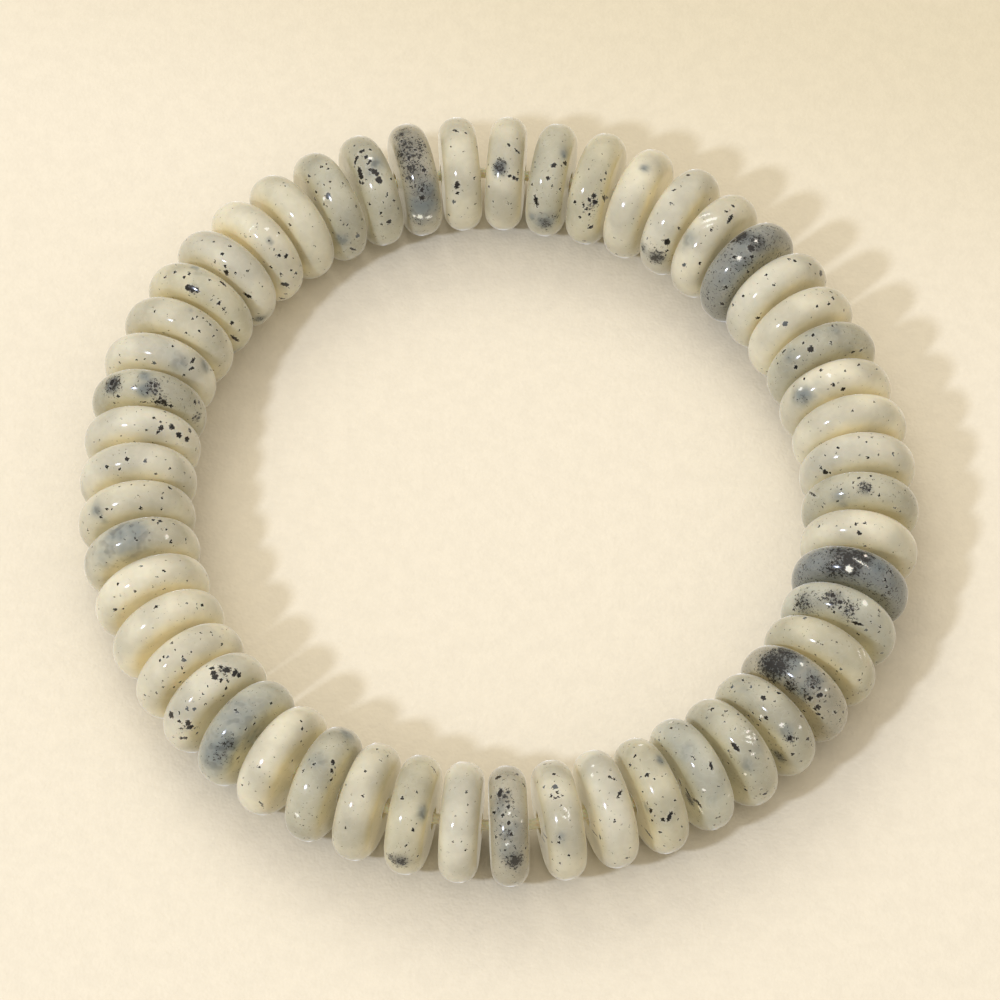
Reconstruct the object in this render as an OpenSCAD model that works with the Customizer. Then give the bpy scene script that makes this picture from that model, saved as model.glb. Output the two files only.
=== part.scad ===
// Beaded stretch bracelet: a closed string of stone rondelles on one elastic thread.
// It lies on its side, and every bead stands on its own rim at height zero.
// The origin is the middle of the ring, on the surface that it lies on.

/* [Beads] */
// Number of beads on the string
bead_count = 51; // [45:1:51]
// Diameter of a bead
bead_d = 10; // [9:0.1:10.2]
// Thickness of a bead at its hub
bead_t = 3.4; // [3.1:0.05:3.4]
// Radius that rounds the rim into the two faces
rim_r = 1.5; // [1.2:0.05:1.5]
// How far each face bulges between the rim and the hub
crown = 0.08; // [0.04:0.01:0.1]
// Diameter of the drilled hole
bore_d = 1.6; // [1.5:0.1:2]

/* [Thread] */
// Diameter of the elastic thread
thread_d = 0.9; // [0.5:0.1:1]
// Number of straight runs that the closed loop is made of
thread_runs = 78; // [70:1:80]

/* [Ring] */
// Mean radius of the line that the thread follows
ring_r = 31.7; // [31.7:0.1:34]
// How far the ring reaches past its mean radius along its long axis
oval = 0.95; // [0:0.05:1.1]
// Blunter and sharper ends of the ring, as a change of radius
egg = 0.2; // [0:0.05:0.3]
// Direction of the long axis, in degrees from the right
long_axis = 101; // [90:1:110]
// Direction of the first bead, in degrees from the right
first_bead = 356.2; // [350:0.1:360]
// How far the beads bunch up towards one diagonal, in degrees
bunching = 0.6; // [0:0.1:0.6]
// Direction of that diagonal, in degrees from the right
bunch_axis = 146; // [130:1:160]
// Turn of every bead away from square to the thread, in degrees
common_turn = 1; // [0:0.5:1.5]

/* [Hidden] */

// Smoothness of the turned beads and of their faces' large arcs, and the sides of the thread
bead_sides = 96;
face_sides = 384;
thread_sides = 8;

stone_colour = [0.78, 0.77, 0.68];
thread_colour = [0.87, 0.78, 0.6];

// Beads that stand out of the even row, counted clockwise from the first one as 0.
// Columns: bead, turn in degrees, moved outwards, moved onwards, change of thickness.
ODD_BEADS = [
    [1, 1, 0.1, 0, 0],
    [3, 1.5, 0.15, 0, 0],
    [4, 1, 0.15, 0, 0],
    [8, 1, -0.2, 0, 0],
    [10, 2, -0.15, 0, 0],
    [11, 2.5, 0, 0, 0],
    [12, 1, 0.2, 0.15, -0.1],
    [16, 2, 0, -0.1, 0],
    [17, -1, 0, 0, 0],
    [20, 2, 0, -0.2, 0],
    [21, 3, 0, -0.1, 0],
    [22, 3, 0, 0, 0],
    [23, 2.5, 0, 0.1, 0],
    [24, 2, 0, 0.1, 0],
    [25, 2, -0.15, 0.15, 0],
    [26, 2, -0.15, 0.15, -0.1],
    [27, 2, 0, 0.1, -0.1],
    [28, 1.5, 0.15, 0, -0.1],
    [33, 1.5, 0, 0, 0],
    [34, 0, 0, 0, 0],
    [38, -1, 0, 0, 0],
    [39, 0, -0.15, 0, 0],
    [42, 0.5, 0.2, 0.1, 0],
    [45, 0, 0.1, 0, 0],
    [48, 1, -0.2, -0.05, 0],
    [49, 2, 0, -0.15, 0],
    [50, 2, 0, -0.15, 0]
];

TURN = 1;
OUTWARDS = 2;
ONWARDS = 3;
THICKER = 4;

bead_r = bead_d / 2;
bead_step = 360 / bead_count;

// The ring: its radius in a direction, how fast that radius changes, and the thread's heading
function radius_at(a) = ring_r + oval * cos(2 * (a - long_axis)) + egg * cos(3 * (a - long_axis));
function slope_at(a) = -2 * oval * sin(2 * (a - long_axis)) - 3 * egg * sin(3 * (a - long_axis));
function heading_at(a) = a + 90 - atan2(slope_at(a), radius_at(a));

// One bead: its row in the table, if it has one, and the value in one column of it
function odd_row(bead) = [for (row = ODD_BEADS) if (row[0] == bead) row];
function odd_value(bead, column, usual) =
    len(odd_row(bead)) == 0 ? usual : odd_row(bead)[0][column];

function even_angle(bead) = first_bead - bead * bead_step;
function bead_angle(bead) =
    even_angle(bead)
    + bunching * sin(2 * (bunch_axis - even_angle(bead)))
    - odd_value(bead, ONWARDS, 0) / ring_r * 180 / PI;
function bead_heading(bead) = heading_at(bead_angle(bead)) + odd_value(bead, TURN, common_turn);
function bead_place(bead) =
    (radius_at(bead_angle(bead)) + odd_value(bead, OUTWARDS, 0))
    * [cos(bead_angle(bead)), sin(bead_angle(bead))];
function half_thickness(bead) = (bead_t + odd_value(bead, THICKER, 0)) / 2;

// The thread follows the ring's line, and is led outwards or inwards by the beads that are moved.
// A moved bead leads it most in the bead's own direction, and not at all one bead further on.
led_by = [for (row = ODD_BEADS) if (row[0] < bead_count) row];
function directions_apart(a, b) = abs((a - b + 540) % 360 - 180);
function led_outwards(a) =
    [for (row = led_by) row[OUTWARDS]]
    * [for (row = led_by) max(0, 1 - directions_apart(a, bead_angle(row[0])) / bead_step)];

// How far a bead reaches from its centre along X or Y, from the angle between that axis and its own
function reach(bead, off) =
    (bead_r - rim_r) * abs(sin(off)) + (half_thickness(bead) - crown - rim_r) * abs(cos(off)) + rim_r;
function reach_x(bead) = reach(bead, bead_heading(bead));
function reach_y(bead) = reach(bead, bead_heading(bead) - 90);

// The middle of the whole string's box, which becomes the origin
beads = [for (bead = [0 : bead_count - 1]) bead];
left = min([for (bead = beads) bead_place(bead)[0] - reach_x(bead)]);
right = max([for (bead = beads) bead_place(bead)[0] + reach_x(bead)]);
near = min([for (bead = beads) bead_place(bead)[1] - reach_y(bead)]);
far = max([for (bead = beads) bead_place(bead)[1] + reach_y(bead)]);
middle = [(left + right) / 2, (near + far) / 2];

// Half section of a bead beside its axis: two rim circles and a slightly domed face on each side.
// The face is an arc that runs smoothly into the rim circle.
module bead_section(half_t) {
    rim_x = bead_r - rim_r;
    rim_y = half_t - crown - rim_r;
    face_r = (rim_x * rim_x + (rim_r + crown) * (rim_r + crown) - rim_r * rim_r) / (2 * crown);
    // Where the face arc meets the rim circle
    join = face_r / (face_r - rim_r);
    join_x = rim_x * join;
    difference() {
        union() {
            intersection() {
                translate([0, half_t - face_r])
                    circle(r = face_r, $fn = face_sides);
                translate([0, face_r - half_t])
                    circle(r = face_r, $fn = face_sides);
                translate([0, -half_t])
                    square([join_x, 2 * half_t]);
            }
            for (side = [-1, 1])
                translate([rim_x, side * rim_y])
                    circle(r = rim_r, $fn = bead_sides);
            translate([rim_x, -rim_y])
                square([rim_r, 2 * rim_y]);
        }
        translate([-bead_r, -bead_r])
            square([bead_r + bore_d / 2, bead_d]);
    }
}

// One drilled rondelle about its own axis
module rondelle(half_t) {
    rotate_extrude($fn = bead_sides)
        bead_section(half_t);
}

// The whole string, each bead square to the thread but for its own small turn
module stone_beads() {
    color(stone_colour)
        for (bead = beads)
            translate([bead_place(bead)[0] - middle[0], bead_place(bead)[1] - middle[1], bead_r])
                rotate([0, 90, bead_heading(bead)])
                    rondelle(half_thickness(bead));
}

// The elastic thread: a closed tube with its rings square to the ring's line
module elastic_thread() {
    rings = [
        for (run = [0 : thread_runs - 1])
            let (a = run * 360 / thread_runs, outwards = heading_at(a) - 90)
                for (side = [0 : thread_sides - 1])
                    let (
                        round = (side + 0.5) * 360 / thread_sides,
                        out = (radius_at(a) + led_outwards(a)) * [cos(a), sin(a)]
                            + thread_d / 2 * cos(round) * [cos(outwards), sin(outwards)] - middle
                    )
                        [out[0], out[1], bead_r + thread_d / 2 * sin(round)]
    ];
    count = thread_runs * thread_sides;
    walls = [
        for (run = [0 : thread_runs - 1])
            for (side = [0 : thread_sides - 1])
                let (
                    here = run * thread_sides,
                    next = here + thread_sides,
                    turn = (side + 1) % thread_sides
                )
                    [here + side, here + turn, (next + turn) % count, (next + side) % count]
    ];
    color(thread_colour)
        polyhedron(points = rings, faces = walls, convexity = 6);
}

stone_beads();
elastic_thread();
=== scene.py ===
"""The looks of a beaded stretch bracelet: speckled stone rondelles on one elastic thread.

Laid out as an add-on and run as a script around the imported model. Lengths are in metres unless a
name or a comment says millimetres, which the stone's own pattern is worked out in.
"""

import math

import bpy
import numpy as np
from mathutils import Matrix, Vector
from mathutils.bvhtree import BVHTree


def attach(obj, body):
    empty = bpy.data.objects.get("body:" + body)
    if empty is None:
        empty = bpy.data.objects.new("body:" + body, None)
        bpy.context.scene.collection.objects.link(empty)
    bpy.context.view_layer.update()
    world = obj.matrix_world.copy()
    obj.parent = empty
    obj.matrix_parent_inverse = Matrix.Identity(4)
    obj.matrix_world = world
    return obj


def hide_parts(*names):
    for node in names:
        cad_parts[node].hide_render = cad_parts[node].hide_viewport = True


bl_info = {
    "name": "Beaded Stretch Bracelet",
    "version": (1, 0, 0),
    "blender": (4, 5, 0),
    "location": "3D View > Sidebar > Bracelet",
    "description": "Makes the stone beads, the elastic thread and the stage of a stretch bracelet",
    "category": "Object",
}

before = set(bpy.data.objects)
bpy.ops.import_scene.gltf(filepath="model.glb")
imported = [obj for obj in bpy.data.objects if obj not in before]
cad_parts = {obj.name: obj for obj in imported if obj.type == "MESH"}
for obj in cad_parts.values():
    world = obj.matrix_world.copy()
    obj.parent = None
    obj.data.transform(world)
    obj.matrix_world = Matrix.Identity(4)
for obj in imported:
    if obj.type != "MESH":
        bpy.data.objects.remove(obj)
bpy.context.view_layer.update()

MM = 0.001
ROOT = "root"
BEAD_NODE = "stone_beads"
THREAD_NODE = "elastic_thread"

# The string: how many beads, and the way from the ring's middle to the first one, in degrees
BEAD_COUNT = 51
FIRST_BEAD_DIRECTION = 356.2

# The picture that the marks are charted in, in points each way, and the width of its sensor
PICTURE = 1000
SENSOR_MM = 36.0

# The stone of each bead, clockwise from the right-hand bead as seen from above. Partly the beads'
# own tones and partly painted light: beads at the left and right of the ring, seen into the shade
# between neighbours, get lighter stones to make up for it
BEAD_STONES = (
    "grey_green", "cream", "black", "slate", "pale", "grey",
    "grey_green", "grey_green", "slate", "pale", "light", "milky",
    "grey", "light", "pale", "milky", "grey_green", "cream",
    "slate", "light", "cream", "cream", "cream", "milky",
    "milky", "light", "light", "grey_green", "light", "milky",
    "pale", "light", "cream", "milky", "grey_green", "grey_green",
    "grey", "milky", "milky", "grey_green", "pale", "cream",
    "light", "cream", "dark", "light", "cream", "grey_green",
    "cream", "cream", "light",
)

# Each stone: how thickly it is sown with small specks, how many larger grains it has on the
# side that the view doesn't show, and how far black granules spread all over it
STONES = {
    "cream": (0.3, 16, 0.0), "light": (0.4, 20, 0.0), "milky": (0.4, 22, 0.0),
    "pale": (0.55, 28, 0.0), "grey_green": (0.65, 34, 0.1), "grey": (0.7, 42, 0.2),
    "slate": (0.6, 34, 0.05), "dark": (0.75, 46, 0.3), "black": (0.75, 50, 0.35),
}

# The marks on the beads, charted in a view of PICTURE points each way, bead by bead.
# Columns: across, down, points wide.
SPECKS = {
    1: [(859, 478, 3), (871, 476, 3), (881, 479, 2), (853, 483, 3), (841, 489, 2), (879, 495, 2),
        (823, 507, 2), (861, 484, 3), (869, 490, 3)],
    2: [(819, 526, 2.5), (865, 523, 3), (865, 546, 3), (859, 533, 4), (856, 524, 3)],
    3: [(839, 558, 4), (885, 580, 3), (887, 587, 3), (891, 572, 3), (832, 562, 3), (851, 549, 5)],
    4: [(858, 634, 3), (846, 611, 3.5), (834, 612, 3), (853, 610, 3), (840, 608, 3), (840, 602, 4),
        (871, 616, 2), (871, 622, 2), (880, 612, 2), (880, 627, 2), (829, 607, 2), (794, 610, 4),
        (797, 605, 3), (833, 595, 5)],
    5: [(822, 644, 2), (862, 674, 2.5), (859, 680, 2.5), (858, 693, 2), (853, 695, 2)],
    6: [(824, 674, 3.5), (812, 677, 3), (815, 681, 2.5), (811, 684, 3), (820, 688, 3),
        (813, 688, 4), (820, 695, 6), (810, 699, 5), (818, 707, 6), (815, 709, 4), (818, 714, 4),
        (804, 711, 3), (835, 712, 4), (843, 712, 3), (840, 719, 2.5), (823, 718, 2.5),
        (825, 696, 3), (796, 656, 3), (788, 683, 5), (793, 689, 4)],
    7: [(763, 698, 5.5), (779, 693, 4), (743, 680, 3), (775, 701, 2.5), (766, 718, 4),
        (753, 713, 2.5), (749, 716, 3.5), (760, 720, 3), (758, 725, 3), (769, 733, 2.5),
        (775, 738, 2), (801, 716, 3), (808, 739, 4), (793, 754, 4), (801, 761, 2.5),
        (780, 767, 2.5), (797, 739, 2.5), (776, 745, 2), (790, 738, 5)],
    8: [(712, 709, 4), (726, 711, 3), (738, 714, 2.5), (746, 790, 4), (762, 789, 2.5),
        (765, 794, 4), (738, 776, 2.5), (728, 763, 2.5)],
    9: [(671, 728, 3), (687, 726, 3), (693, 757, 2.5), (676, 753, 2.5), (662, 746, 3),
        (660, 732, 2), (659, 740, 3), (719, 817, 2.5), (714, 825, 2.5)],
    10: [(635, 756, 3.5), (630, 765, 3), (647, 775, 4.5), (654, 779, 2.5), (641, 777, 2.5),
         (666, 774, 2), (643, 792, 2.5), (647, 803, 3), (651, 811, 4.5), (655, 816, 2),
         (652, 820, 3), (663, 820, 4), (678, 820, 2), (682, 827, 2), (660, 832, 3.5),
         (680, 840, 2.5), (664, 846, 2.5), (675, 800, 2), (638, 805, 2)],
    11: [(580, 766, 2.5), (610, 777, 3.5), (614, 779, 2.5), (600, 820, 2), (615, 821, 3),
         (594, 825, 3), (600, 837, 5.5), (627, 858, 3.5), (630, 848, 2)],
    12: [(545, 764, 3), (550, 764, 2), (554, 774, 3), (554, 781, 2), (557, 792, 3.5),
         (551, 796, 3), (555, 798, 3), (558, 797, 3), (562, 796, 2.5), (561, 805, 3),
         (560, 838, 3), (559, 842, 3), (552, 842, 2), (569, 855, 2), (552, 859, 2.5),
         (560, 863, 2)],
    13: [(498, 777, 6), (500, 793, 7), (491, 797, 4), (517, 774, 4), (524, 785, 4), (508, 807, 4),
         (494, 812, 4), (503, 815, 3.5), (509, 823, 4), (511, 834, 4), (496, 837, 4),
         (526, 848, 3)],
    14: [(466, 792, 2.5), (466, 850, 2.5)],
    15: [(402, 798, 3), (413, 830, 3), (406, 846, 3), (418, 856, 3)],
    16: [(388, 756, 3), (381, 761, 2.5), (365, 771, 3), (363, 796, 3), (377, 749, 2.5)],
    17: [(333, 762, 5), (332, 771, 4), (331, 780, 4), (314, 764, 3), (303, 771, 3)],
    18: [(301, 721, 3), (302, 729, 3), (307, 732, 2.5), (292, 761, 3), (259, 767, 3),
         (242, 785, 2.5), (303, 745, 2)],
    19: [(271, 703, 3), (254, 724, 3), (246, 729, 3), (236, 710, 3), (275, 714, 2.5),
         (238, 758, 4), (228, 703, 2.5)],
    20: [(179, 721, 4), (188, 723, 6), (190, 727, 6), (182, 738, 5), (186, 738, 4), (195, 728, 3),
         (197, 733, 3), (173, 737, 2.5), (207, 666, 3), (212, 668, 5), (213, 673, 6),
         (215, 677, 7), (221, 667, 4), (227, 670, 7.5),
         (235, 673, 7), (239, 675, 5), (221, 680, 4), (228, 681, 3.5), (226, 688, 3),
         (223, 696, 3), (205, 704, 2.5), (203, 694, 2), (208, 686, 2), (179, 713, 2.5),
         (171, 715, 7), (181, 689, 2)],
    21: [(172, 643, 3), (175, 650, 2), (164, 657, 2.5), (160, 660, 2.5), (182, 657, 3),
         (182, 668, 3), (184, 673, 2), (191, 652, 2), (201, 633, 2), (211, 632, 2.5),
         (212, 635, 2.5), (222, 644, 2.5), (194, 623, 3), (174, 687, 3), (180, 682, 2),
         (156, 693, 2.5), (145, 695, 2.5)],
    22: [(156, 607, 3.5), (202, 605, 3.5), (197, 608, 2), (153, 628, 2)],
    23: [(118, 584, 3), (164, 571, 3), (157, 577, 2), (207, 576, 3), (164, 589, 2), (115, 610, 4),
         (123, 609, 2.5), (135, 591, 2)],
    24: [(156, 517, 5), (160, 521, 4), (153, 520, 3), (163, 515, 3.5), (158, 523, 3),
         (173, 515, 3.5), (174, 524, 2.5), (166, 529, 2.5), (137, 540, 2.5), (171, 542, 3),
         (186, 539, 2.5)],
    25: [(148, 481, 3), (168, 482, 3), (170, 488, 4), (176, 487, 4), (162, 498, 2.5),
         (162, 509, 2.5), (141, 508, 3), (107, 509, 3), (112, 509, 2.5), (101, 517, 3.5),
         (88, 530, 2.5), (89, 514, 2)],
    26: [(127, 459, 4), (107, 467, 3), (120, 469, 3), (118, 475, 2), (126, 452, 2), (170, 468, 3),
         (156, 474, 2.5), (185, 473, 2)],
    27: [(154, 418, 3), (161, 428, 5), (158, 432, 4), (172, 427, 6), (179, 435, 6), (187, 439, 6),
         (190, 430, 4.5), (165, 412, 2.5), (161, 422, 2.5), (196, 449, 2.5), (196, 436, 2.5),
         (94, 442, 2.5)],
    28: [(112, 382, 6), (110, 388, 4), (118, 396, 3.5), (99, 382, 3), (155, 385, 4.5),
         (151, 383, 3), (158, 384, 3), (151, 386, 2.5), (156, 391, 3.5), (153, 392, 2.5),
         (147, 393, 3), (160, 398, 4), (156, 402, 4), (159, 402, 4), (164, 402, 5.5),
         (166, 405, 4), (171, 406, 4), (195, 402, 4), (199, 402, 3), (193, 418, 2.5),
         (195, 417, 2.5), (198, 418, 2.5), (209, 419, 4), (133, 388, 3)],
    29: [(173, 346, 3), (137, 360, 2.5), (145, 359, 2.5), (211, 370, 2.5), (184, 375, 3)],
    30: [(193, 319, 2.5), (197, 317, 2.5), (203, 318, 2.5), (199, 331, 2.5), (186, 333, 2),
         (214, 336, 3), (217, 330, 2), (224, 356, 2), (155, 311, 2.5)],
    31: [(192, 289, 7), (188, 288, 6), (197, 290, 5), (175, 272, 4), (165, 277, 3), (184, 277, 3),
         (189, 274, 3), (210, 280, 3), (236, 289, 3), (224, 309, 3), (212, 300, 2.5),
         (232, 323, 4), (186, 263, 3.5), (219, 303, 4)],
    32: [(230, 246, 3), (222, 254, 3), (225, 266, 3), (226, 272, 5), (227, 274, 3), (236, 273, 3),
         (215, 262, 2.5), (177, 255, 3), (248, 271, 2.5)],
    33: [(279, 233, 2), (286, 256, 4), (271, 267, 3), (291, 270, 3.5), (296, 273, 3),
         (281, 274, 3), (286, 294, 3), (299, 286, 2.5), (293, 258, 2)],
    34: [(285, 186, 2), (290, 225, 3)],
    35: [(321, 167, 3), (326, 164, 2.5), (328, 169, 2.5), (309, 176, 4), (308, 182, 3.5),
         (306, 183, 2.5), (324, 185, 2.5), (348, 181, 5), (343, 183, 2.5), (316, 192, 4),
         (315, 199, 4), (324, 204, 3), (327, 206, 2.5), (347, 225, 2.5)],
    36: [(362, 151, 5.5), (370, 150, 3), (366, 157, 4.5), (379, 180, 7), (360, 182, 4),
         (363, 183, 3), (391, 179, 2.5), (387, 195, 3), (394, 201, 3), (370, 204, 2.5),
         (381, 213, 3.5), (389, 222, 4.5), (381, 224, 3), (383, 202, 2), (354, 146, 2.5),
         (370, 170, 3.5)],
    37: [(424, 170, 4), (422, 190, 4), (422, 198, 6), (409, 158, 4), (404, 150, 3), (415, 150, 3),
         (402, 141, 3)],
    38: [(457, 185, 6), (457, 193, 3.5), (449, 215, 3.5), (451, 147, 2), (466, 133, 3),
         (477, 147, 2.5), (474, 178, 2.5), (462, 217, 2)],
    39: [(510, 176, 3.5), (514, 178, 4), (517, 179, 3.5), (518, 173, 3), (489, 186, 3),
         (493, 202, 2), (509, 145, 3.5), (508, 203, 2)],
    40: [(548, 178, 4), (537, 207, 2.5), (532, 184, 3), (552, 187, 2.5), (560, 189, 2.5),
         (554, 165, 5), (565, 163, 5)],
    41: [(594, 196, 5), (589, 200, 4), (595, 202, 5), (584, 205, 3.5), (580, 217, 3),
         (591, 227, 5.5), (606, 173, 3), (605, 179, 2.5), (584, 241, 3), (589, 214, 3),
         (575, 202, 3), (586, 209, 3)],
    42: [(616, 254, 3)],
    43: [(667, 242, 6.5), (667, 251, 3), (647, 239, 3), (642, 247, 3), (688, 175, 4),
         (710, 199, 3), (674, 190, 3), (671, 203, 3), (679, 228, 3)],
    44: [(726, 211, 3.5), (733, 206, 3.5), (711, 230, 3), (700, 263, 3)],
    45: [(751, 248, 7), (733, 241, 6), (722, 304, 4), (734, 257, 4), (752, 257, 4), (748, 272, 4),
         (726, 287, 3.5)],
    46: [(789, 259, 3.5), (795, 261, 3.5), (821, 273, 6), (743, 296, 4), (774, 285, 3),
         (758, 318, 4), (766, 275, 3), (733, 305, 3), (826, 281, 3), (810, 264, 3)],
    47: [(833, 298, 3.5), (829, 304, 3), (831, 292, 3), (817, 307, 3), (844, 310, 3)],
    48: [(833, 326, 3), (811, 349, 6.5), (813, 335, 3.5), (803, 343, 3), (794, 339, 3),
         (784, 351, 4), (831, 343, 3), (853, 352, 4), (861, 350, 3), (796, 367, 4)],
    49: [(821, 370, 4), (843, 389, 4.5), (833, 385, 3), (859, 365, 3), (877, 369, 3),
         (804, 379, 3), (845, 371, 2.5)],
    50: [(853, 411, 3), (874, 402, 2.5)],
    51: [(838, 448, 2.5), (825, 455, 2), (866, 442, 2), (867, 457, 3), (878, 455, 2.5),
         (825, 472, 5), (830, 473, 3), (821, 468, 3)],
}

# Grey spots, deeper in the stone. Columns as above.
GREY_SPOTS = {
    1: [(895, 508, 3)], 4: [(866, 630, 3), (882, 653, 3)], 5: [(805, 618, 4), (841, 669, 3)],
    7: [(732, 687, 4), (751, 687, 2.5), (769, 687, 3)],
    8: [(725, 722, 2.5), (735, 729, 2.5), (729, 751, 3)], 12: [(555, 787, 6), (544, 787, 3)],
    19: [(237, 712, 3)], 20: [(187, 709, 4), (194, 709, 4)], 21: [(168, 657, 3), (184, 660, 4)],
    22: [(187, 603, 2.5)], 23: [(141, 566, 3)], 26: [(145, 461, 4)], 29: [(154, 363, 4)],
    35: [(358, 236, 4.5), (328, 196, 6)], 38: [(454, 202, 4)], 44: [(684, 265, 4)],
    47: [(785, 324, 5)], 51: [(893, 454, 3)],
}

# White flecks. Columns as above.
FLECKS = {
    3: [(849, 569, 6), (866, 556, 3)], 4: [(865, 603, 6)], 6: [(826, 690, 2.5), (802, 664, 3)],
    7: [(782, 725, 4.5), (761, 716, 3), (800, 727, 3)], 8: [(745, 774, 2.5), (753, 754, 3)],
    9: [(704, 790, 3), (671, 722, 3)], 10: [(641, 745, 3)], 11: [(593, 766, 3), (592, 775, 3.5)],
    13: [(509, 813, 3), (522, 821, 3), (507, 844, 3)], 17: [(297, 815, 4)], 24: [(167, 537, 4)],
    33: [(267, 229, 3), (277, 236, 2)], 35: [(324, 199, 3)], 36: [(370, 158, 4)],
    37: [(420, 217, 5), (429, 217, 4), (414, 216, 3)], 45: [(756, 241, 4), (739, 258, 4)],
    49: [(829, 375, 4), (800, 389, 4)],
}

# Long black grains, from one end to the other. Columns: across, down, across, down, points wide.
GRAINS = {
    1: [(809, 492, 816, 496, 3)], 4: [(853, 622, 862, 625, 3.5)],
    9: [(710, 763, 712, 769, 3.5), (686, 789, 690, 797, 4), (693, 799, 698, 802, 4),
        (697, 801, 701, 807, 3.5), (679, 779, 681, 785, 3)],
    8: [(733, 744, 738, 750, 4)], 10: [(645, 829, 652, 838, 3.2), (668, 820, 671, 813, 4)],
    11: [(592, 830, 597, 836, 2.5), (618, 797, 621, 791, 3)],
    12: [(543, 833, 547, 838, 3), (542, 837, 545, 842, 3), (540, 843, 542, 847, 2.5)],
    15: [(432, 767, 436, 773, 2)], 18: [(260, 801, 264, 808, 2)], 26: [(184, 456, 184, 462, 2.5)],
    28: [(140, 402, 147, 402, 2)], 29: [(191, 362, 194, 359, 3.2), (190, 369, 193, 368, 3.2)],
    30: [(207, 321, 211, 326, 2)],
    31: [(176, 265, 181, 262, 3), (221, 282, 225, 285, 3.2), (245, 307, 246, 302, 3.2),
         (232, 336, 238, 341, 3.5), (217, 304, 221, 301, 2.5)],
    32: [(245, 294, 250, 297, 4)],
    33: [(277, 255, 281, 256, 2.5), (281, 298, 284, 299, 3), (283, 284, 287, 285, 5)],
    35: [(351, 248, 355, 250, 3)],
    36: [(355, 163, 357, 157, 3.5), (359, 169, 362, 179, 5), (368, 164, 371, 160, 3),
         (373, 170, 377, 174, 5)],
    38: [(453, 130, 459, 132, 2)], 39: [(515, 149, 519, 153, 2.5)],
    40: [(535, 197, 537, 204, 4)], 41: [(602, 196, 608, 198, 3.5), (603, 197, 605, 201, 3)],
    44: [(728, 222, 732, 216, 3.5)],
}

# White healed cracks and scratches. Columns as the grains'.
CRACKS = {
    3: [(853, 558, 868, 567, 1.5)], 5: [(858, 650, 861, 658, 1.5), (863, 650, 865, 657, 1.5)],
    8: [(744, 733, 750, 731, 1.5), (746, 741, 753, 743, 1.5), (754, 733, 755, 740, 1.5),
        (748, 737, 751, 738, 3)],
    9: [(700, 811, 729, 795, 3.2), (697, 804, 702, 812, 2.5)],
    12: [(564, 808, 568, 812, 1.5), (569, 811, 569, 820, 1.5), (563, 816, 566, 818, 1.5)],
    33: [(249, 231, 254, 226, 1.5)],
    44: [(704, 222, 716, 218, 3), (700, 217, 709, 214, 2.5), (705, 227, 712, 224, 2)],
}

# Smoky blue grey patches. Columns: across, down, radius in points, strength.
CLOUDS = {
    1: [(838, 496, 7, 0.7), (843, 504, 6, 0.6)],
    3: [(876, 566, 13, 0.8), (850, 562, 12, 0.6)],
    6: [(790, 662, 20, 0.9), (776, 668, 14, 1.0), (812, 678, 16, 0.8), (800, 690, 14, 0.7)],
    7: [(787, 731, 9, 0.7), (779, 757, 10, 0.7), (745, 690, 10, 0.3)],
    8: [(748, 765, 12, 0.5), (757, 750, 8, 0.4)], 9: [(688, 750, 12, 0.45), (712, 800, 9, 0.35)],
    10: [(661, 760, 7, 0.8), (646, 807, 6, 0.7)], 12: [(561, 837, 7, 0.6), (545, 828, 8, 0.5)],
    13: [(510, 830, 16, 0.6), (508, 850, 14, 0.6), (500, 810, 12, 0.5), (515, 812, 10, 0.4)],
    15: [(424, 813, 9, 0.9)], 17: [(348, 734, 9, 0.9), (317, 760, 12, 0.5)],
    19: [(227, 744, 20, 0.9), (216, 758, 24, 0.85), (240, 718, 28, 0.6), (252, 738, 20, 0.7),
         (262, 705, 20, 0.4)],
    24: [(122, 536, 28, 0.85), (134, 530, 17, 1.0), (104, 556, 20, 0.6)],
    25: [(96, 510, 9, 0.7), (104, 520, 8, 0.4)],
    28: [(145, 376, 8, 0.9), (144, 390, 9, 1.0), (150, 384, 10, 0.6), (112, 384, 10, 0.7)],
    29: [(206, 365, 8, 0.9), (179, 362, 12, 0.6), (172, 352, 14, 0.4)], 30: [(190, 310, 4, 0.6)],
    31: [(195, 267, 5, 1.0), (200, 275, 12, 0.4), (240, 352, 9, 0.6)], 32: [(260, 319, 7, 1.0)],
    33: [(270, 241, 4, 0.8)], 35: [(341, 239, 9, 0.8), (325, 175, 10, 0.3)],
    36: [(375, 163, 9, 0.7), (372, 172, 8, 0.7)],
    37: [(427, 190, 15, 0.8), (424, 208, 20, 0.9)], 39: [(500, 168, 9, 1.0)],
    40: [(564, 154, 6, 0.9), (532, 217, 7, 0.8), (545, 222, 14, 0.9)],
    42: [(645, 168, 6, 0.9)], 43: [(643, 248, 8, 0.5)],
    44: [(687, 238, 14, 0.6), (704, 214, 8, 0.5)],
    45: [(742, 262, 16, 0.6), (728, 280, 12, 0.5), (745, 240, 16, 0.6)],
    48: [(813, 332, 12, 0.5), (790, 355, 12, 0.5), (835, 330, 10, 0.5), (848, 352, 9, 0.4)],
    49: [(803, 396, 12, 1.0), (816, 384, 10, 0.4)],
}

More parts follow.
